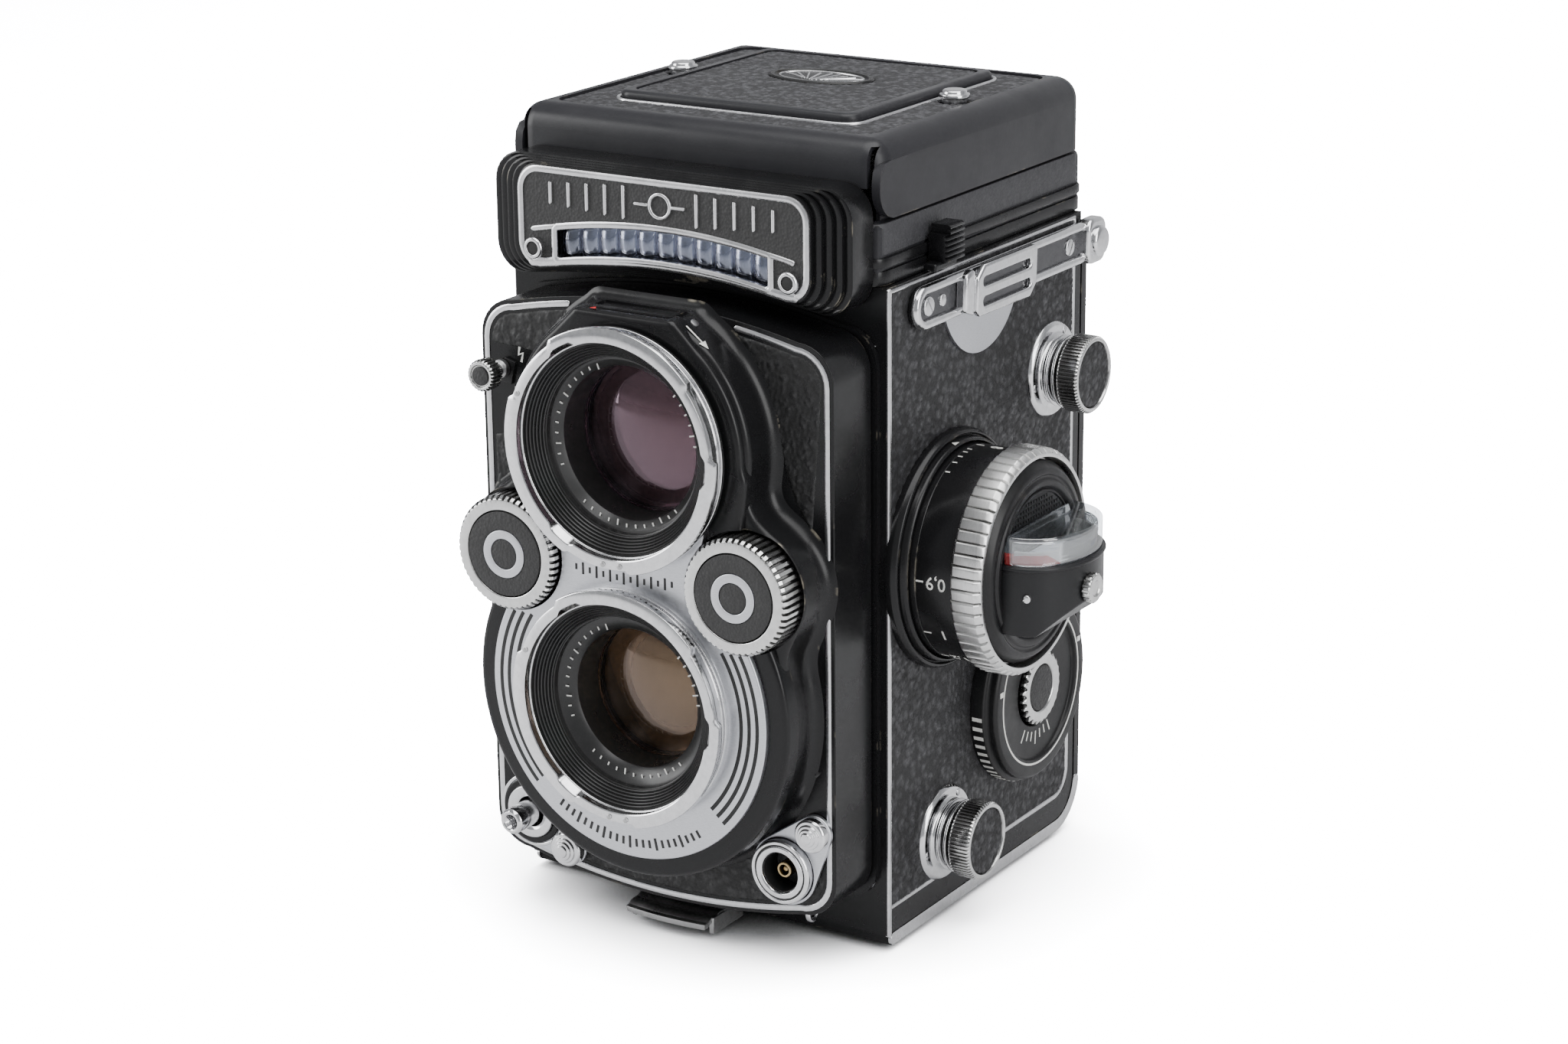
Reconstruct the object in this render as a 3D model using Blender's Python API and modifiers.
"""Twin lens reflex camera, 6 x 6 cm on 120 roll film.

Metres in the scene, millimetres in the constants below, +Z up.
X = 0 is the plane of the two lens axes, the lenses look along -Y, the focusing knob is on the +X side.
The origin is on the flat rim of the tripod bush, TRIPOD_Y in front of its hole, level with the feet.
"""
import math

import bmesh
import bpy
from mathutils import Matrix, Vector

MM = 0.001
MERGE = 0.00001
GAP = 0.3

# ---- driving dimensions, in millimetres ----
BODY_HALF = 39.24
BODY_FRONT = -36.8
BODY_REAR = 34.3
BODY_BOTTOM = 3.4
BODY_TOP = 123.3
CORNER_R = 7.4
SPOOL_HALF = 33.0
WALL = 2.0

TAKING_Z = 48.3
VIEWING_Z = 95.55
BOARD_HALF = 36.98
BOARD_FRONT = -50.55
BOARD_REAR = -38.2
BOARD_LOW = 7.4
BOARD_HIGH = 119.2
BOARD_BOW = 3.4
BOARD_CORNER = 7.0
BOARD_WALL = 1.5

HOUSING_FRONT = -59.6
HOUSING_R = 32.4
FACE_FRONT = -60.6
FACE_R = 29.2
BAYONET_IN = 19.3
BAYONET_OUT = 21.96
BAYONET_FRONT = -64.9

WHEEL_X = 24.24
WHEEL_Z = 72.73
WHEEL_R = 10.6
WHEEL_FRONT = -63.04
WHEEL_REAR = -57.6
EAR_R = 12.6

FOCUS_Y = -15.83
FOCUS_Z = 71.48
FLANGE_R = 21.9
KNOB_R = 20.6
KNOB_IN = 18.8
KNOB_FRONT = 57.3
KNOB_REAR = 51.4
SLEEVE_R = 19.4

SUPPLY_Y = -16.8
SUPPLY_Z = 16.8
TAKEUP_Y = 22.4
TAKEUP_Z = 95.7
SPOOL_R = 12.4

DIAL_Y = 11.2
DIAL_Z = 37.0
DIAL_R = 17.0
DIAL_KNOB_R = 7.1
DIAL_HEIGHT = 4.9

MIRROR_Y = -3.5
GATE_Y = 27.5
GATE_HALF = 28.0

HOOD_HALF = 37.7
HOOD_FRONT = -36.9
HOOD_REAR = 36.6
HOOD_TOP = 134.4
LID_HALF = 38.2
LID_FRONT = -37.17
LID_REAR = 36.8
LID_LOW = 134.8
LID_TOP = 148.46
LID_WALL = 1.4
LID_ROUND = 3.2
LID_PIVOT_Y = -33.0
LID_PIVOT_Z = 145.3
WING_X = 34.0
WING_Z = 127.6
REAR_HINGE_Y = 33.2
REAR_HINGE_Z = 131.2

HOUSE_FRONT = -47.26
HOUSE_REAR = -37.3
HOUSE_HALF = 36.0
HOUSE_LOW = 122.4
HOUSE_HIGH = 141.2
FRAME_HALF = 29.8

DOOR_REAR = 36.8
DOOR_LOW = 1.05
DOOR_HINGE_Y = 35.8
DOOR_HINGE_Z = 119.6

LATCH_Y = -22.1
TRIPOD_Y = 6.5
TRIPOD_R = 9.6
TRIPOD_BORE = 3.2

CRANK_Y = -4.0
CRANK_Z = 66.0
CRANK_REACH = 30.0
COUNTER_Z = 94.0

READ_HALF = 13.0
READ_REACH = 11.5
READ_LOW = FOCUS_Z - 9.5
READ_HIGH = FOCUS_Z + 3.0

RELEASE_X = -28.2
RELEASE_Z = 19.0
SOCKET_X = 26.9
SOCKET_Z = 19.1
TIMER_X = -32.0
TIMER_Z = 103.2
BUTTON_X = 29.2
BUTTON_Y = 4.0

FRONT = "-Y"
BACK = "+Y"
RIGHT = "+X"
LEFT = "-X"
UP = "+Z"
TURN = {
    FRONT: (math.pi / 2, 0.0, 0.0),
    BACK: (-math.pi / 2, 0.0, 0.0),
    RIGHT: (0.0, math.pi / 2, 0.0),
    LEFT: (0.0, -math.pi / 2, 0.0),
    UP: (0.0, 0.0, 0.0),
}

COLOURS = {
    "black_enamel": ((0.012, 0.012, 0.013), 0.28, 0.0),
    "black_plastic": ((0.014, 0.014, 0.015), 0.45, 0.0),
    "chrome": ((0.78, 0.78, 0.79), 0.14, 1.0),
    "satin_silver": ((0.62, 0.63, 0.65), 0.34, 1.0),
    "knurled_silver": ((0.70, 0.70, 0.70), 0.28, 1.0),
    "matt_black": ((0.006, 0.006, 0.006), 0.85, 0.0),
    "glass": ((0.30, 0.26, 0.30), 0.04, 0.0),
    "clear_plastic": ((0.75, 0.78, 0.80), 0.08, 0.0),
    "mirror": ((0.90, 0.90, 0.90), 0.03, 1.0),
    "steel": ((0.50, 0.50, 0.50), 0.35, 1.0),
    "red_paint": ((0.70, 0.03, 0.02), 0.40, 0.0),
}


# ---- tools ----
def clear_scene():
    for old in list(bpy.data.objects):
        bpy.data.objects.remove(old, do_unlink=True)


def new_collection(name):
    group = bpy.data.collections.new(name)
    bpy.context.scene.collection.children.link(group)
    return group


def make_material(name):
    colour, roughness, metallic = COLOURS[name]
    material = bpy.data.materials.new(name)
    material.use_nodes = True
    shader = material.node_tree.nodes["Principled BSDF"]
    shader.inputs["Base Color"].default_value = (*colour, 1.0)
    shader.inputs["Roughness"].default_value = roughness
    shader.inputs["Metallic"].default_value = metallic
    return material


def point(x, y, z):
    return Vector((x * MM, y * MM, z * MM))


def finish(name, mesh, place, turn, look):
    """Put a mesh in the scene. Without a look it is a cutter, or a shape to be joined to another."""
    thing = bpy.data.objects.new(name, mesh)
    thing.location = place
    thing.rotation_euler = turn
    if look is None:
        CUTTERS.objects.link(thing)
        thing.hide_render = True
        thing.display_type = "WIRE"
    else:
        PARTS.objects.link(thing)
        mesh.materials.append(MATERIALS[look])
    return thing


def box(name, xs, ys, zs, look=None, bevel=0.0, segments=2):
    mesh = bpy.data.meshes.new(name)
    shape = bmesh.new()
    size = Vector((xs[1] - xs[0], ys[1] - ys[0], zs[1] - zs[0])) * MM
    bmesh.ops.create_cube(shape, size=1.0, matrix=Matrix.Diagonal((*size, 1.0)))
    shape.to_mesh(mesh)
    shape.free()
    centre = point((xs[0] + xs[1]) / 2, (ys[0] + ys[1]) / 2, (zs[0] + zs[1]) / 2)
    thing = finish(name, mesh, centre, (0.0, 0.0, 0.0), look)
    if bevel:
        soften(thing, bevel, segments)
    return thing


def soften(thing, width, segments=2):
    edge = thing.modifiers.new("Edges", "BEVEL")
    edge.width = width * MM
    edge.segments = segments
    edge.limit_method = "ANGLE"
    edge.harden_normals = False


def turned(name, profile, place, axis, look=None, steps=28, ring=False):
    """Turn a profile of (radius, height) points, listed from the top down on its outer side."""
    mesh = bpy.data.meshes.new(name)
    rows = [(radius * MM, 0.0, height * MM) for radius, height in profile]
    edges = [(i, i + 1) for i in range(len(rows) - 1)]
    if ring:
        edges.append((len(rows) - 1, 0))
    mesh.from_pydata(rows, edges, [])
    thing = finish(name, mesh, place, TURN[axis], look)
    screw = thing.modifiers.new("Turn", "SCREW")
    screw.steps = steps
    screw.render_steps = steps
    screw.use_merge_vertices = True
    screw.merge_threshold = MERGE
    screw.use_smooth_shade = True
    return thing


def disc(name, radius, high, low, place, axis, look=None, steps=28):
    outline = [(0.0, high), (radius, high), (radius, low), (0.0, low)]
    return turned(name, outline, place, axis, look, steps)


def ring(name, inner, outer, high, low, place, axis, look=None, steps=28):
    outline = [(inner, high), (outer, high), (outer, low), (inner, low)]
    return turned(name, outline, place, axis, look, steps, ring=True)


def plate(name, outline, low, high, axis, look=None, place=(0.0, 0.0, 0.0)):
    """A flat outline, extruded from low to high along an axis, through a filled 2D curve."""
    curve = bpy.data.curves.new(name, "CURVE")
    curve.dimensions = "2D"
    curve.fill_mode = "BOTH"
    curve.extrude = (high - low) / 2 * MM
    spline = curve.splines.new("POLY")
    spline.points.add(len(outline) - 1)
    for spot, (u, v) in zip(spline.points, outline):
        spot.co = (u * MM, v * MM, 0.0, 1.0)
    spline.use_cyclic_u = True
    guide = bpy.data.objects.new(name + "_outline", curve)
    bpy.context.scene.collection.objects.link(guide)
    graph = bpy.context.evaluated_depsgraph_get()
    mesh = bpy.data.meshes.new_from_object(guide.evaluated_get(graph))
    mesh.name = name
    bpy.data.objects.remove(guide, do_unlink=True)
    bpy.data.curves.remove(curve)
    frames = {
        FRONT: Matrix(((1, 0, 0), (0, 0, 1), (0, 1, 0))),
        RIGHT: Matrix(((0, 0, 1), (1, 0, 0), (0, 1, 0))),
        UP: Matrix.Identity(3),
    }
    mesh.transform(Matrix.Translation((0.0, 0.0, (low + high) / 2 * MM)))
    mesh.transform(frames[axis].to_4x4())
    shape = bmesh.new()
    shape.from_mesh(mesh)
    bmesh.ops.remove_doubles(shape, verts=shape.verts, dist=MERGE)
    bmesh.ops.recalc_face_normals(shape, faces=shape.faces)
    shape.to_mesh(mesh)
    shape.free()
    return finish(name, mesh, point(*place), (0.0, 0.0, 0.0), look)


def cut(thing, *cutters):
    for cutter in cutters:
        step = thing.modifiers.new("Cut " + cutter.name, "BOOLEAN")
        step.operation = "DIFFERENCE"
        step.solver = "EXACT"
        step.object = cutter


def join(thing, *others):
    for other in others:
        step = thing.modifiers.new("Join " + other.name, "BOOLEAN")
        step.operation = "UNION"
        step.solver = "EXACT"
        step.object = other


def hang(pivot_name, place, *things):
    """Parent the moving things to an empty on their joint's axis."""
    pivot = bpy.data.objects.new(pivot_name, None)
    pivot.empty_display_size = 5 * MM
    pivot.location = place
    PARTS.objects.link(pivot)
    for thing in things:
        thing.parent = pivot
        thing.matrix_parent_inverse = Matrix.Translation(place).inverted()


def arc(cx, cz, radius, start, stop, steps):
    """Points along an arc, angles in degrees."""
    angles = [math.radians(start + (stop - start) * i / steps) for i in range(steps + 1)]
    return [(cx + radius * math.cos(a), cz + radius * math.sin(a)) for a in angles]


def rounded(u0, u1, v0, v1, radius, steps=4):
    corners = [(u1 - radius, v0 + radius, -90), (u1 - radius, v1 - radius, 0),
               (u0 + radius, v1 - radius, 90), (u0 + radius, v0 + radius, 180)]
    outline = []
    for cu, cv, start in corners:
        outline += arc(cu, cv, radius, start, start + 90, steps)
    return outline


def bowed(half, low, high, bow, radius, steps=4, across=8):
    """A rounded rectangle whose top and bottom edges bow outwards by bow at the middle."""
    reach = half - radius
    outline = []
    outline += arc(reach, low + bow + radius, radius, -90, 0, steps)
    outline += arc(reach, high - bow - radius, radius, 0, 90, steps)
    for i in range(1, across):
        u = reach - 2 * reach * i / across
        outline.append((u, high - bow * (u / reach) ** 2))
    outline += arc(-reach, high - bow - radius, radius, 90, 180, steps)
    outline += arc(-reach, low + bow + radius, radius, 180, 270, steps)
    for i in range(1, across):
        u = -reach + 2 * reach * i / across
        outline.append((u, low + bow * (u / reach) ** 2))
    return outline


# ---- the body ----
def build_casting():
    side = [(BODY_FRONT, BODY_BOTTOM)]
    side += arc(BODY_REAR - CORNER_R, BODY_BOTTOM + CORNER_R, CORNER_R, -90, 0, 6)
    side += [(BODY_REAR, BODY_TOP), (BODY_FRONT, BODY_TOP)]
    casting = plate("body_casting", side, -BODY_HALF, BODY_HALF, RIGHT, "black_enamel")

    spools = arc(SUPPLY_Y, SUPPLY_Z, SPOOL_R + 0.9, 180, 20, 10)
    spools += [(-2.0, 18.0), (GATE_Y, 18.0), (GATE_Y, 79.0), (11.0, 83.0)]
    spools += [(9.0, 95.0), (12.5, 105.0), (22.4, 109.3), (40.0, 109.3), (40.0, 0.0)]
    spools += [(SUPPLY_Y - SPOOL_R - 0.9, 0.0)]
    film_side = plate("film_side_cut", spools, -SPOOL_HALF, SPOOL_HALF, RIGHT)

    cone = [(-34.8, 34.5), (-10.0, 31.4), (GATE_Y + 0.2, TAKING_Z - GATE_HALF)]
    cone += [(GATE_Y + 0.2, TAKING_Z + GATE_HALF), (-34.8, 60.5)]
    light_side = plate("light_cut", cone, -GATE_HALF, GATE_HALF, RIGHT)

    behind = BODY_TOP + 3.0
    slope = VIEWING_Z - MIRROR_Y
    mirror_box = [(-34.8, 64.6), (-31.6, -31.6 + slope - 3.4), (26.5, 26.5 + slope - 3.4)]
    mirror_box += [(26.5, behind), (-34.8, behind)]
    mirror_side = plate("mirror_cut", mirror_box, -30.5, 30.5, RIGHT)

    lens_holes = [disc("taking_hole", 16.5, 2.0, -4.0, point(0, BODY_FRONT, TAKING_Z), FRONT, steps=24),
                  disc("viewing_hole", 16.5, 2.0, -4.0, point(0, BODY_FRONT, VIEWING_Z), FRONT, steps=24)]
    shaft_hole = disc("focus_shaft_hole", 3.2, 45.0, -45.0, point(0, FOCUS_Y, FOCUS_Z), RIGHT, steps=16)
    spool_holes = [disc("supply_hole", 3.4, 10.0, -2.0, point(35.0, SUPPLY_Y, SUPPLY_Z), RIGHT, steps=16),
                   disc("takeup_hole", 3.4, 10.0, -2.0, point(35.0, TAKEUP_Y, TAKEUP_Z), RIGHT, steps=16)]
    counter_pocket = disc("counter_pocket", 6.4, 2.0, -1.6,
                          point(-BODY_HALF, CRANK_Y, COUNTER_Z), LEFT, steps=24)
    crank_hole = disc("crank_hole", 3.2, 12.0, -10.0, point(-BODY_HALF, CRANK_Y, CRANK_Z), LEFT, steps=16)

    sleeve_out = plate("light_trap", rounded(-34.4, 34.4, 12.5, 113.0, 5.0), -46.0, -35.9, FRONT)
    sleeve_in = plate("light_trap_cut", rounded(-33.0, 33.0, 13.9, 111.6, 4.0),
                      -50.0, BODY_FRONT - 0.01, FRONT)
    collar = plate("front_collar", bowed(37.9, BOARD_LOW - 1.0, BOARD_HIGH + 0.6, BOARD_BOW, BOARD_CORNER),
                   BODY_FRONT - 1.0, BODY_FRONT + 1.0, FRONT)
    join(casting, collar, sleeve_out)
    cut(casting, sleeve_in, film_side, light_side, mirror_side, *lens_holes)
    cut(casting, shaft_hole, *spool_holes, counter_pocket, crank_hole)
    bridge = box("tripod_bridge", (-SPOOL_HALF - 0.5, SPOOL_HALF + 0.5),
                 (TRIPOD_Y - TRIPOD_R, TRIPOD_Y + TRIPOD_R), (BODY_BOTTOM, BODY_BOTTOM + 2.0))
    join(casting, bridge)


def build_mirror():
    """The first-surface mirror at 45 degrees behind the viewing lens, with its frame."""
    thing = box("reflex_mirror", (-28.5, 28.5), (-1.0, 1.0), (-37.0, 37.0), "mirror", bevel=0.3, segments=1)
    thing.rotation_euler = (math.radians(-45), 0.0, 0.0)
    back = 1.2 / math.sqrt(2)
    thing.location = point(0, MIRROR_Y - 1.5 + back, VIEWING_Z - 1.5 - back)
    return thing


def build_screen():
    return box("focusing_screen", (-29.5, 29.5), (-31.4, 24.4), (123.6, 125.5), "clear_plastic")


def build_hood_base():
    base = box("hood_base", (-HOOD_HALF, HOOD_HALF), (HOOD_FRONT, HOOD_REAR), (BODY_TOP + GAP, HOOD_TOP),
               "black_enamel", bevel=1.2)
    tray = box("hood_tray_cut", (-36.0, 36.0), (-34.8, 34.8), (126.4, 140.0))
    light = box("hood_light_cut", (-30.0, 30.0), (-31.8, 24.8), (120.0, 130.0))
    arms = []
    for side in (-1, 1):
        xs = sorted((side * 35.6, side * 36.4))
        outline = rounded(LID_PIVOT_Y - 1.2, LID_PIVOT_Y + 1.6, 127.0, LID_PIVOT_Z + 1.0, 0.8, 2)
        arm = plate("lid_arm", outline, xs[0], xs[1], RIGHT)
        arms.append(arm)
    cut(base, tray, light)
    join(base, *arms)
    return base


def build_hood_panels():
    """Two wings and a rear panel that stand up round the screen as the lid opens."""
    reach = 33.2
    for name, side, level in (("left_wing", -1, WING_Z), ("right_wing", 1, WING_Z)):
        tip = side * (WING_X - reach)
        edge = side * WING_X
        outline = [(edge, -26.4), (edge, 32.0), (side * (WING_X - 4.0), 32.0), (tip, 2.0)]
        outline += [(tip, -21.0), (side * (WING_X - 20.0), -26.4)]
        wing = plate(name, outline, level, level + 0.7, UP, "black_enamel")
        hang(name + "_pivot", point(edge, 0.0, level), wing)
    outline = [(-31.0, REAR_HINGE_Y), (31.0, REAR_HINGE_Y), (31.0, REAR_HINGE_Y - 14.0)]
    outline += [(24.0, REAR_HINGE_Y - 44.0), (-24.0, REAR_HINGE_Y - 44.0), (-31.0, REAR_HINGE_Y - 14.0)]
    panel = plate("rear_hood_panel", outline, REAR_HINGE_Z, REAR_HINGE_Z + 0.7, UP, "black_enamel")
    hang("rear_hood_pivot", point(0.0, REAR_HINGE_Y, REAR_HINGE_Z), panel)


def build_lid():
    lid = box("hood_lid", (-LID_HALF, LID_HALF), (LID_FRONT, LID_REAR), (LID_LOW - 2 * LID_ROUND, LID_TOP),
              "black_enamel")
    soften(lid, LID_ROUND, 3)
    room = box("lid_room_cut", (-LID_HALF + LID_WALL, LID_HALF - LID_WALL),
               (LID_FRONT + LID_WALL, LID_REAR - LID_WALL), (LID_LOW - 12.0, LID_TOP - 1.7))
    below = box("lid_below_cut", (-60.0, 60.0), (-60.0, 60.0), (LID_LOW - 20.0, LID_LOW))
    skirt = box("lid_front_cut", (-60.0, 60.0), (-50.0, LID_FRONT + 2.6), (LID_LOW - 12.0, 140.3))
    window = box("finder_opening_cut", (-24.0, 24.0), (-22.4, 25.4), (LID_TOP - 4.0, LID_TOP + 4.0))
    holes = [disc("button_hole", 2.9, 3.0, -5.0, point(side * BUTTON_X, BUTTON_Y, LID_TOP), UP, steps=20)
             for side in (-1, 1)]
    slits = [box("lid_slit_cut", sorted((side * 35.2, side * (LID_HALF - LID_WALL))),
                 (LID_FRONT - 2.0, LID_FRONT + 3.0), (LID_LOW - 2.0, LID_TOP - 1.5)) for side in (-1, 1)]
    cut(lid, below, room, skirt, window, *holes, *slits)
    flap = box("finder_flap", (-25.1, 25.1), (-23.6, 26.6), (LID_TOP + GAP, LID_TOP + 1.3),
               "black_enamel", 0.4, 1)
    hub = box("finder_flap_back", (-23.6, 23.6), (-22.0, 25.0), (LID_TOP - 1.2, LID_TOP + 0.8))
    join(flap, hub)
    glass = turned("magnifier", [(0, 1.8), (8, 1.2), (12.5, 0.0), (14.5, 0.0), (14.5, -2.4), (12.5, -2.4),
                                 (8, -3.6), (0, -4.2)], point(0, 6.0, 144.6), UP, "glass", 20)
    for name, side in (("left_lid_button", -1), ("right_lid_button", 1)):
        shape = [(0, 1.9), (2.2, 1.9), (2.8, 1.3), (2.8, 0.35), (2.4, 0.35), (2.4, -3.0), (0, -3.0)]
        turned(name, shape, point(side * BUTTON_X, BUTTON_Y, LID_TOP), UP, "chrome", 20)
    hang("lid_pivot", point(0, LID_PIVOT_Y, LID_PIVOT_Z), lid, flap, glass)


def build_catches():
    for name, side in (("left_hood_catch", -1), ("right_hood_catch", 1)):
        xs = sorted((side * (BODY_HALF - 1.2), side * (BODY_HALF + 3.6)))
        box(name, xs, (-18.5, -9.8), (124.3, 131.2), "black_enamel", 0.8, 2)


def build_meter():
    """The light meter's box behind the name plate, its frame and its row of small lenses."""
    side = rounded(-HOUSE_HALF, HOUSE_HALF, HOUSE_LOW, HOUSE_HIGH, 5.0, 4)
    shell = plate("meter_housing", side, HOUSE_FRONT + 1.2, HOUSE_REAR, FRONT, "black_enamel")
    bow_r = 170.0
    low_curve = disc("meter_low_cut", bow_r, 20.0, -20.0, point(0, -42.0, HOUSE_LOW + 1.6 - bow_r), FRONT,
                     steps=200)
    cell = box("meter_cell_cut", (-22.6, 22.6), (-50.0, HOUSE_FRONT + 6.0), (125.6, 132.6))
    cut(shell, low_curve, cell)
    frame = plate("meter_frame", rounded(-FRAME_HALF, FRAME_HALF, 123.9, 139.45, 3.5, 4),
                  HOUSE_FRONT, HOUSE_FRONT + 0.9, FRONT, "chrome")
    name_cut = plate("name_field_cut", rounded(-28.4, 28.4, 133.0, 138.2, 2.4, 3),
                     HOUSE_FRONT - 2.0, HOUSE_FRONT + 3.0, FRONT)
    cell_cut = plate("frame_cell_cut", rounded(-23.4, 23.4, 125.2, 131.6, 1.4, 3),
                     HOUSE_FRONT - 2.0, HOUSE_FRONT + 3.0, FRONT)
    cut(frame, name_cut, cell_cut)
    box("meter_window", (-22.2, 22.2), (HOUSE_FRONT - 0.1, HOUSE_FRONT + 5.4), (126.0, 131.0),
        "clear_plastic", 0.5, 1)


def build_strap_fittings():
    for name, side in (("left_strap_fitting", -1), ("right_strap_fitting", 1)):
        way = RIGHT if side > 0 else LEFT
        low, high = BODY_HALF + GAP, BODY_HALF + 1.5
        xs = sorted((side * low, side * high))
        bar = plate(name, rounded(-27.2, 40.0, 114.4, 121.6, 3.4, 4), xs[0], xs[1], RIGHT, "chrome")
        xs = sorted((side * (high - 0.4), side * (high + 2.6)))
        clip = plate(name + "_clip", rounded(-8.5, 10.5, 114.0, 122.0, 1.6, 3), xs[0], xs[1], RIGHT)
        xs = sorted((side * (high + 0.6), side * (high + 5.0)))
        slots = [box("strap_slot", xs, (-5.5, 8.0), (low_z, low_z + 1.5)) for low_z in (115.6, 118.9)]
        lug = disc(name + "_lug", 3.4, 2.8, -0.4, point(side * high, 38.0, 118.0), way, steps=24)
        half_disc = disc(name + "_disc", 12.0, 0.8, 0.2, point(side * (BODY_HALF + 0.1), -4.7, 116.5), way,
                         steps=32)
        trim = box("disc_top_cut", (-60, 60), (-30, 20), (118.0, 140.0))
        cut(half_disc, trim)
        join(bar, clip, lug, half_disc)
        cut(bar, *slots)


def build_spool_knobs():
    """Each knob pulls out with its shaft to free the film spool, and turns on that shaft."""
    for name, y, z in (("upper_spool", TAKEUP_Y, TAKEUP_Z), ("lower_spool", SUPPLY_Y, SUPPLY_Z)):
        base = BODY_HALF + GAP
        ring(name + "_flange", 3.3, 9.0, 1.6, 0.0, point(base, y, z), RIGHT, "chrome", 32)
        shaft = [(0, 10.4), (1.4, 10.4), (1.4, 5.2), (2.9, 5.2), (2.9, -7.4), (1.6, -9.0), (0, -9.0)]
        turned(name + "_shaft", shaft, point(base, y, z), RIGHT, "steel", 20)
        shape = [(1.7, 9.2), (7.3, 9.2), (7.3, 5.2), (4.6, 4.9), (4.6, 2.2), (3.2, 2.2), (3.2, 5.5)]
        shape.append((1.7, 5.5))
        knob = turned(name + "_knob", shape, point(base, y, z), RIGHT, "knurled_silver", 24, ring=True)
        cap_room = disc(name + "_cap_cut", 6.2, 10.4, 8.6, point(base, y, z), RIGHT, steps=32)
        cut(knob, cap_room)


def half_round(inset, flat, steps=12):
    """The half-round plan of the readout: its flat side lies against the knob."""
    outline = []
    for i in range(steps + 1):
        angle = math.pi * (i / steps - 0.5)
        outline.append((KNOB_FRONT + (READ_REACH - inset) * math.cos(angle) ** 0.8,
                        FOCUS_Y + (READ_HALF - inset) * math.sin(angle)))
    outline[0] = (flat, outline[0][1])
    outline[-1] = (flat, outline[-1][1])
    return outline


def build_focus():
    """The focusing knob turns round the fixed meter readout, on a shaft across the body."""
    centre = point(0, FOCUS_Y, FOCUS_Z)
    base = BODY_HALF + GAP
    flange = [(SLEEVE_R + 0.5, base + 3.4), (20.6, base + 3.4), (21.2, base + 1.6), (FLANGE_R, base + 1.6)]
    flange += [(FLANGE_R, base), (SLEEVE_R + 0.5, base)]
    turned("focus_flange", flange, centre, RIGHT, "black_enamel", 40, ring=True)
    shape = [(KNOB_IN, KNOB_FRONT), (KNOB_R, KNOB_FRONT), (KNOB_R, KNOB_REAR), (SLEEVE_R, KNOB_REAR),
             (SLEEVE_R, base + 0.2), (2.8, base + 0.2), (2.8, -37.0), (1.4, -37.0), (1.4, base + 1.6),
             (KNOB_IN, base + 1.6)]
    turned("focus_knob", shape, centre, RIGHT, "knurled_silver", 36, ring=True)

    cap = [(0, KNOB_FRONT + 0.8), (15.0, KNOB_FRONT + 0.8), (18.3, KNOB_FRONT - 0.6)]
    cap += [(18.3, KNOB_FRONT - 3.0), (4.0, KNOB_FRONT - 3.0), (1.0, KNOB_FRONT - 4.0)]
    cap += [(1.0, -36.5), (0, -36.5)]
    cap = turned("readout_housing", cap, centre, RIGHT, "black_plastic", 36)
    block = plate("readout_block", half_round(0.0, KNOB_FRONT - 1.0), READ_LOW, READ_HIGH, UP)
    slope = [(KNOB_FRONT + 5.0, READ_LOW - 3.0), (KNOB_FRONT + 15.0, READ_LOW - 3.0)]
    slope += [(KNOB_FRONT + 15.0, FOCUS_Z - 2.0), (KNOB_FRONT + 10.0, FOCUS_Z - 5.0)]
    slope = plate("readout_slope_cut", slope, -FOCUS_Y - 20.0, -FOCUS_Y + 20.0, FRONT)
    slope.data.transform(Matrix.Diagonal((1.0, -1.0, 1.0, 1.0)))
    slope.data.flip_normals()
    well = plate("needle_well_cut", half_round(1.6, KNOB_FRONT + 1.2), FOCUS_Z + 0.6, FOCUS_Z + 20.0, UP)
    join(cap, block)
    cut(cap, slope, well)
    adjuster = [(0, 2.2), (2.6, 2.2), (3.0, 1.6), (3.0, -2.0), (0, -2.0)]
    seat = point(KNOB_FRONT + READ_REACH - 0.2, FOCUS_Y, FOCUS_Z - 2.5)
    join(cap, turned("readout_adjuster", adjuster, seat, RIGHT, None, 20))

    window = plate("readout_window", half_round(0.6, KNOB_FRONT + 1.0), READ_HIGH + GAP, FOCUS_Z + 8.6, UP,
                   "clear_plastic")
    hollow = plate("readout_window_cut", half_round(1.5, KNOB_FRONT + 2.0), FOCUS_Z, FOCUS_Z + 7.7, UP)
    cut(window, hollow)
    needle = box("meter_needle", (KNOB_FRONT + 2.2, KNOB_FRONT + 8.8), (FOCUS_Y - 0.35, FOCUS_Y + 0.35),
                 (FOCUS_Z + 1.3, FOCUS_Z + 2.0), "red_paint")
    hang("needle_pivot", point(KNOB_FRONT + 2.4, FOCUS_Y, FOCUS_Z + 1.6), needle)


def build_film_dial():
    base = BODY_HALF + GAP
    centre = point(base, DIAL_Y, DIAL_Z)
    ring("film_speed_dial", DIAL_KNOB_R + 0.4, DIAL_R, DIAL_HEIGHT, 0.0, centre, RIGHT, "black_plastic", 40)
    top = DIAL_HEIGHT + 0.4
    knob = [(0, top), (4.2, top), (5.4, top - 0.5), (DIAL_KNOB_R, top - 0.5), (DIAL_KNOB_R, 2.4)]
    knob += [(DIAL_KNOB_R - 0.6, 2.4), (DIAL_KNOB_R - 0.6, 0.0), (0, 0.0)]
    turned("compensation_knob", knob, centre, RIGHT, "knurled_silver", 24)


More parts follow.
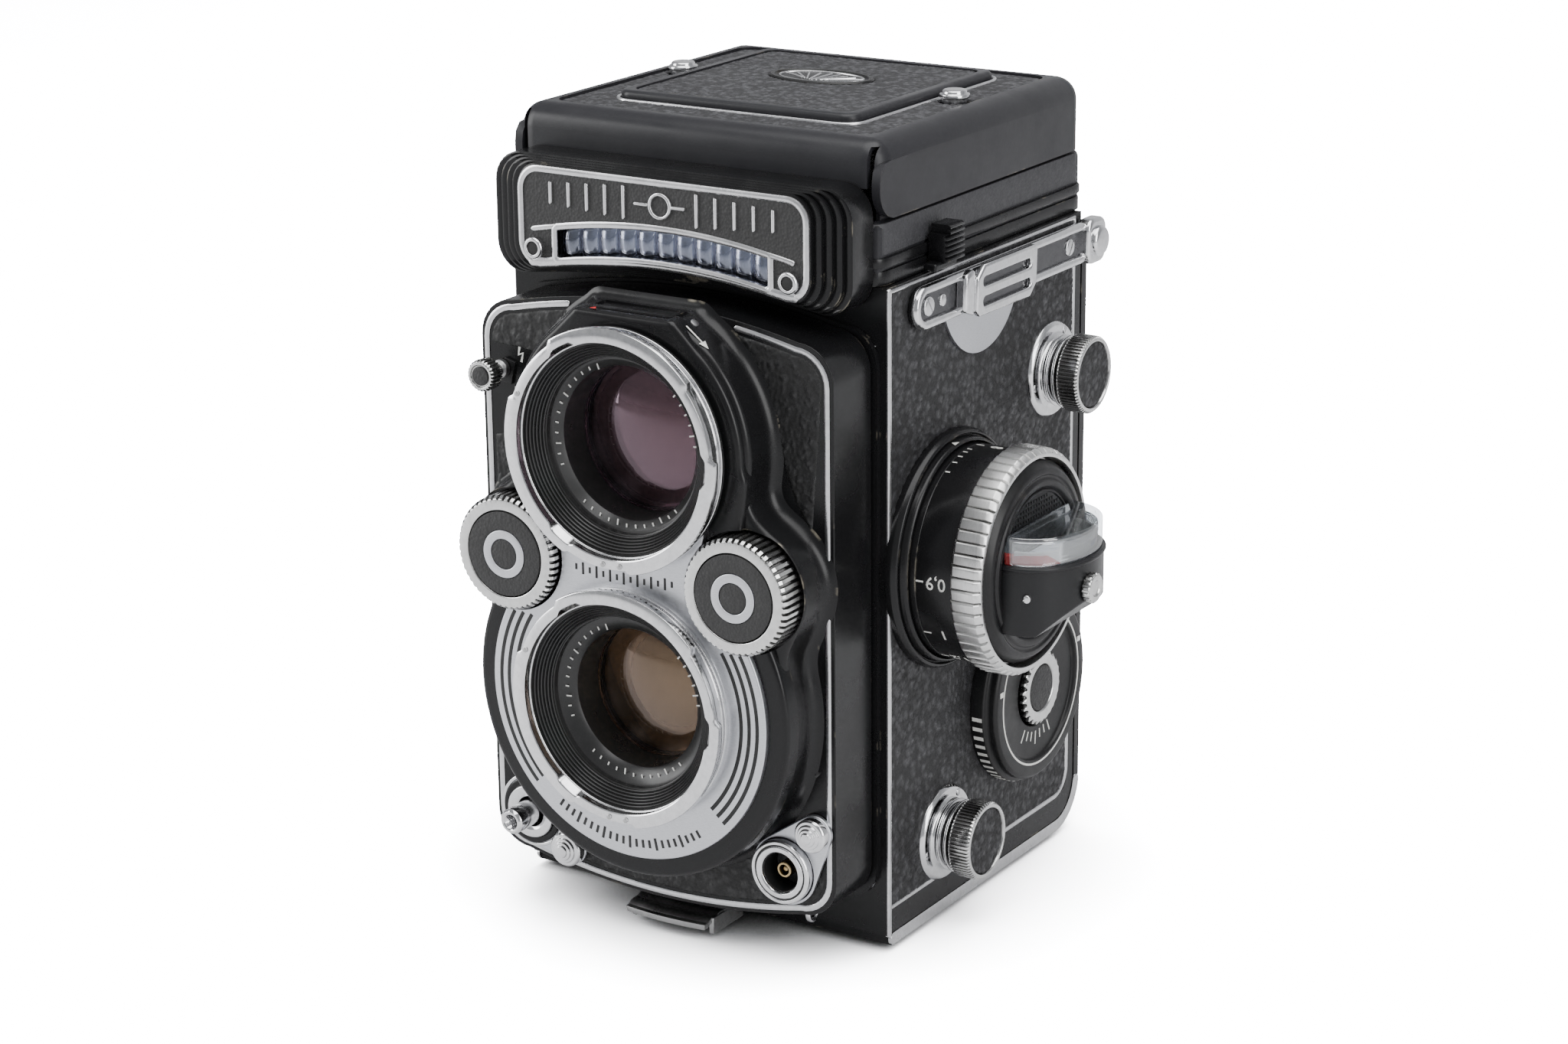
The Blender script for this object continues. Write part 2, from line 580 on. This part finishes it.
# ---- the front standard ----
def build_board():
    outline = bowed(BOARD_HALF, BOARD_LOW, BOARD_HIGH, BOARD_BOW, BOARD_CORNER)
    board = plate("lens_board", outline, BOARD_FRONT, BOARD_REAR, FRONT, "black_enamel")
    inner = bowed(BOARD_HALF - BOARD_WALL, BOARD_LOW + BOARD_WALL, BOARD_HIGH - BOARD_WALL, BOARD_BOW,
                  BOARD_CORNER - BOARD_WALL)
    room = plate("board_room_cut", inner, BOARD_FRONT + 2.0, BOARD_REAR + 5.0, FRONT)
    bores = [disc("board_taking_cut", 19.4, 10.0, -10.0, point(0, BOARD_FRONT, TAKING_Z), FRONT),
             disc("board_viewing_cut", 19.4, 10.0, -10.0, point(0, BOARD_FRONT, VIEWING_Z), FRONT)]
    release_seat = point(RELEASE_X, BOARD_FRONT, RELEASE_Z)
    release = disc("release_collar", 5.4, 2.2, -1.0, release_seat, FRONT, steps=28)
    release_bore = disc("release_bore", 2.8, 8.0, -8.0, release_seat, FRONT, steps=20)
    socket_bore = disc("socket_bore", 4.2, 8.0, -8.0, point(SOCKET_X, BOARD_FRONT, SOCKET_Z), FRONT, steps=24)
    cut(board, room, *bores)
    join(board, release)
    cut(board, release_bore, socket_bore)


def build_shutter():
    rear = BOARD_FRONT - GAP
    taking = point(0, 0, TAKING_Z)
    viewing = point(0, 0, VIEWING_Z)
    hubs = [point(side * WHEEL_X, 0, WHEEL_Z) for side in (-1, 1)]
    housing = disc("shutter_housing", HOUSING_R, -HOUSING_FRONT, -rear, taking, FRONT, "black_enamel", 48)
    ears = [disc("wheel_ear", EAR_R, -WHEEL_REAR - GAP, -rear + 0.1, hub, FRONT, steps=32) for hub in hubs]
    waist = plate("waist", [(-24, 66), (24, 66), (27, 78), (23, 92), (-23, 92), (-27, 78)],
                  HOUSING_FRONT + 0.2, rear - 0.2, FRONT)
    roof = [(-24.0, 84), (24.0, 84), (24.0, 106), (12.5, 119.3), (-12.5, 119.3), (-24.0, 106)]
    hood = plate("viewing_hood", roof, HOUSING_FRONT - 0.5, rear - 0.5, FRONT)
    slots = [disc("wheel_room_cut", WHEEL_R + 0.5, -HOUSING_FRONT + 6.0, -WHEEL_REAR - GAP + 0.01, hub, FRONT,
                  steps=36) for hub in hubs]
    axles = [disc("wheel_axle_cut", 2.3, -WHEEL_REAR + 2.0, -rear - 3.0, hub, FRONT, steps=16)
             for hub in hubs]
    bores = [disc("housing_taking_cut", 19.4, 80.0, 40.0, taking, FRONT, steps=36),
             disc("housing_viewing_cut", 19.4, 80.0, 40.0, viewing, FRONT, steps=36)]
    join(housing, *ears, waist, hood)
    cut(housing, *slots, *axles, *bores)

    face = disc("face_plate", FACE_R, -FACE_FRONT, -HOUSING_FRONT + GAP, taking, FRONT, "satin_silver", 56)
    neck = plate("face_neck", [(-17, 66), (17, 66), (13.8, 74.5), (17, 86), (-17, 86), (-13.8, 74.5)],
                 FACE_FRONT + 0.05, HOUSING_FRONT - GAP - 0.05, FRONT)
    face_slots = [disc("face_wheel_cut", WHEEL_R + 0.5, 80.0, 40.0, hub, FRONT, steps=36) for hub in hubs]
    hood_clear = disc("face_viewing_cut", 22.6, 80.0, 40.0, viewing, FRONT, steps=36)
    join(face, neck)
    cut(face, bores[0], hood_clear, *face_slots)


def build_lens(prefix, z, glass_front, glass_r):
    """A bayonet ring, a stepped barrel and the front and rear groups of one lens."""
    centre = point(0, 0, z)
    behind = -FACE_FRONT + GAP
    ring(prefix + "_bayonet", BAYONET_IN, BAYONET_OUT, -BAYONET_FRONT, behind, centre, FRONT, "chrome", 36)
    seat = -glass_front
    barrel = [(17.9, 63.6), (19.0, 63.6), (19.0, 46.0), (15.0, 46.0), (15.0, 36.4), (glass_r - 1.4, 36.4),
              (glass_r - 1.4, seat - 3.4), (glass_r + 0.3, seat - 3.4), (glass_r + 0.3, seat + 0.8)]
    barrel += [(15.6, seat + 2.2), (15.6, 59.6), (17.2, 60.2)]
    turned(prefix + "_barrel", barrel, centre, FRONT, "matt_black", 28, ring=True)
    crown = 2.2
    front = [(0, seat + crown)]
    front += [(glass_r * k / 4, seat + crown * (1 - (k / 4) ** 2)) for k in range(1, 5)]
    front += [(glass_r, seat - 3.0), (0, seat - 3.0)]
    turned(prefix + "_front_glass", front, centre, FRONT, "glass", 28)


def build_shutter_inside():
    blades = disc("shutter_blades", 10.5, 44.6, 44.0, point(0, 0, TAKING_Z), FRONT, "steel", 24)
    rim = ring("blade_rim", 9.0, 10.7, 45.2, 43.4, point(0, 0, TAKING_Z), FRONT, steps=24)
    join(blades, rim)


def build_wheels():
    for name, side in (("aperture_wheel", -1), ("speed_wheel", 1)):
        shape = [(0, -WHEEL_FRONT), (7.9, -WHEEL_FRONT), (WHEEL_R, -WHEEL_FRONT - 0.4)]
        shape += [(WHEEL_R, -WHEEL_REAR), (2.0, -WHEEL_REAR), (2.0, -WHEEL_REAR - 3.4), (0, -WHEEL_REAR - 3.4)]
        turned(name, shape, point(side * WHEEL_X, 0, WHEEL_Z), FRONT, "knurled_silver", 32)


def build_front_controls():
    out = -BOARD_FRONT
    turned("release_button", [(0, out + 8.2), (2.4, out + 8.2), (2.4, out - 4.0), (0, out - 4.0)],
           point(RELEASE_X, 0, RELEASE_Z), FRONT, "chrome", 20)
    lock = [(0, out + 4.4), (2.2, out + 4.4), (3.3, out + 3.6), (3.3, out + 0.4), (0, out + 0.4)]
    lock = turned("release_lock", lock, point(RELEASE_X + 8.3, 0, RELEASE_Z - 5.6), FRONT, "chrome", 20)
    hang("release_lock_pivot", point(RELEASE_X, BOARD_FRONT, RELEASE_Z), lock)
    socket = [(0, out - 1.6), (3.4, out - 1.6), (3.4, out + 2.8), (5.9, out + 2.4), (5.9, out + GAP)]
    socket += [(3.9, out + GAP), (3.9, out - 3.0), (0, out - 3.0)]
    turned("sync_socket", socket, point(SOCKET_X, 0, SOCKET_Z), FRONT, "chrome", 28)
    latch = [(0, out + 4.2), (2.2, out + 4.2), (3.1, out + 3.4), (3.1, out + 0.4), (0, out + 0.4)]
    latch = turned("sync_lock", latch, point(SOCKET_X + 6.3, 0, SOCKET_Z + 8.2), FRONT, "chrome", 20)
    hang("sync_lock_pivot", point(SOCKET_X, BOARD_FRONT, SOCKET_Z), latch)
    lever = [(0, out + 7.6), (1.9, out + 7.6), (2.9, out + 7.0), (2.9, out + 4.6), (1.2, out + 4.6)]
    lever += [(1.2, out + 0.4), (0, out + 0.4)]
    lever = turned("timer_lever", lever, point(TIMER_X, 0, TIMER_Z), FRONT, "knurled_silver", 20)
    hang("timer_pivot", point(0, BOARD_FRONT, VIEWING_Z), lever)


# ---- film transport and back ----
def build_transport():
    takeup = point(0, TAKEUP_Y, TAKEUP_Z)
    core, end = 5.0, 31.8
    spool = [(0, end), (SPOOL_R, end), (SPOOL_R, end - 1.0), (core, end - 1.0), (core, -end + 1.0)]
    spool += [(SPOOL_R, -end + 1.0), (SPOOL_R, -end), (0, -end)]
    spool = turned("takeup_spool", spool, takeup, RIGHT, "black_plastic", 32)
    socket = disc("spool_end_cut", 3.4, end + 1.0, end - 2.6, takeup, RIGHT, steps=20)
    cut(spool, socket)
    roller = [(0, 32.4), (1.0, 32.4), (1.0, 31.0), (2.6, 31.0), (2.6, -31.0), (1.0, -31.0), (1.0, -32.4)]
    roller += [(0, -32.4)]
    for name, y, z in (("lower_roller", 30.0, 14.6), ("upper_roller", 30.6, 80.0)):
        turned(name, roller, point(0, y, z), RIGHT, "steel", 20)


def build_back():
    """The L-shaped back: a bottom and a rear wall in one, hinged at the top of the rear."""
    thick = 1.9
    outer_r = CORNER_R + 2.2
    outer = [(BODY_FRONT + 1.6, DOOR_LOW)]
    outer += arc(DOOR_REAR - outer_r, DOOR_LOW + outer_r, outer_r, -90, 0, 7)
    outer += [(DOOR_REAR, 118.0), (DOOR_REAR - thick, 118.0)]
    inner_r = outer_r - thick
    outer += arc(DOOR_REAR - outer_r, DOOR_LOW + outer_r, inner_r, 0, -90, 7)
    outer += [(BODY_FRONT + 1.6, DOOR_LOW + thick)]
    door = plate("back_door", outer, -BODY_HALF, BODY_HALF, RIGHT, "black_enamel")
    opening = rounded(-11.0, 11.0, -19.5, TRIPOD_Y + 11.0, 8.0, 5)
    tripod_cut = plate("tripod_opening_cut", opening, -5.0, 8.0, UP)
    cut(door, tripod_cut)
    feet = []
    for x in (-31.0, 31.0):
        for y in (-27.0, 24.0):
            feet.append(disc("foot", 2.6, DOOR_LOW + 0.3, 0.0, point(x, y, 0), UP, steps=16))
    join(door, *feet)
    plate_gap = GATE_Y + 1.0
    pressure = box("pressure_plate", (-31.0, 31.0), (plate_gap, plate_gap + 1.4), (18.5, 76.8),
                   "steel", 0.4, 1)
    spring = box("pressure_stem", (-6.0, 6.0), (plate_gap + 1.0, DOOR_REAR - thick - GAP), (44.0, 52.0))
    join(pressure, spring)
    hang("back_pivot", point(0, DOOR_HINGE_Y, DOOR_HINGE_Z), door, pressure)


def build_latch():
    """The catch under the front edge: a ridged thumb piece and a tongue below the bottom plate."""
    thumb = box("back_latch", (-9.0, 9.0), (-50.0, -38.6), (0.5, 4.6), "satin_silver", 0.8, 2)
    tongue = box("latch_tongue", (-7.0, 7.0), (-40.0, -22.0), (0.15, 0.75))
    root = box("latch_root", (-7.0, 7.0), (-40.0, -38.0), (0.15, 2.0))
    under = box("latch_under_cut", (-7.6, 7.6), (-60.0, -41.0), (-2.0, 3.2))
    cut(thumb, under)
    join(thumb, root, tongue)
    hang("latch_pivot", point(0, LATCH_Y, 0.45), thumb)


def build_tripod_socket():
    """The bush under the bridge of the casting. Its flat rim is level with the feet."""
    ring("tripod_socket", TRIPOD_BORE, TRIPOD_R, BODY_BOTTOM - GAP, 0.0, point(0, TRIPOD_Y, 0), UP,
         "steel", 36)


def build_crank():
    base = -BODY_HALF - GAP
    out = LEFT
    centre = point(0, CRANK_Y, CRANK_Z)
    ring("crank_plate", 3.3, 14.0, -base + 1.4, -base, centre, out, "black_enamel", 40)
    hub = [(0, -base + 4.4), (8.4, -base + 4.4), (9.0, -base + 3.8), (9.0, -base + 1.7), (2.9, -base + 1.7)]
    hub += [(2.9, 30.5), (0, 30.5)]
    hub = turned("crank_arm", hub, centre, out, "chrome", 32)
    outline = rounded(CRANK_Y - 4.2, CRANK_Y + 4.2, CRANK_Z - CRANK_REACH - 4.0, CRANK_Z + 2.0, 3.8, 4)
    arm = plate("crank_bar", outline, base - 4.0, base - 2.0, RIGHT)
    join(hub, arm)
    foot = point(base - 4.3, CRANK_Y, CRANK_Z - CRANK_REACH - 2.4)
    handle = box("crank_handle", (base - 9.0, base - 4.3), (CRANK_Y - 2.6, CRANK_Y + 2.6),
                 (CRANK_Z - CRANK_REACH - 2.4, CRANK_Z - CRANK_REACH + 14.0), "black_plastic", 1.6, 3)
    hang("crank_handle_pivot", foot, handle)
    counter = [(0, 0.6), (5.9, 0.6), (5.9, -0.8), (0, -0.8)]
    turned("counter_disc", counter, point(-BODY_HALF, CRANK_Y, COUNTER_Z), out, "clear_plastic", 24)


clear_scene()
PARTS = new_collection("twin_lens_reflex_camera")
CUTTERS = new_collection("cutters")
MATERIALS = {name: make_material(name) for name in COLOURS}

build_casting()
build_mirror()
build_screen()
build_hood_base()
build_hood_panels()
build_lid()
build_catches()
build_meter()
build_strap_fittings()
build_spool_knobs()
build_focus()
build_film_dial()
build_board()
build_shutter()
build_lens("taking", TAKING_Z, -54.6, 12.6)
build_lens("viewing", VIEWING_Z, -53.4, 13.6)
build_shutter_inside()
build_wheels()
build_front_controls()
build_transport()
build_back()
build_latch()
build_tripod_socket()
build_crank()
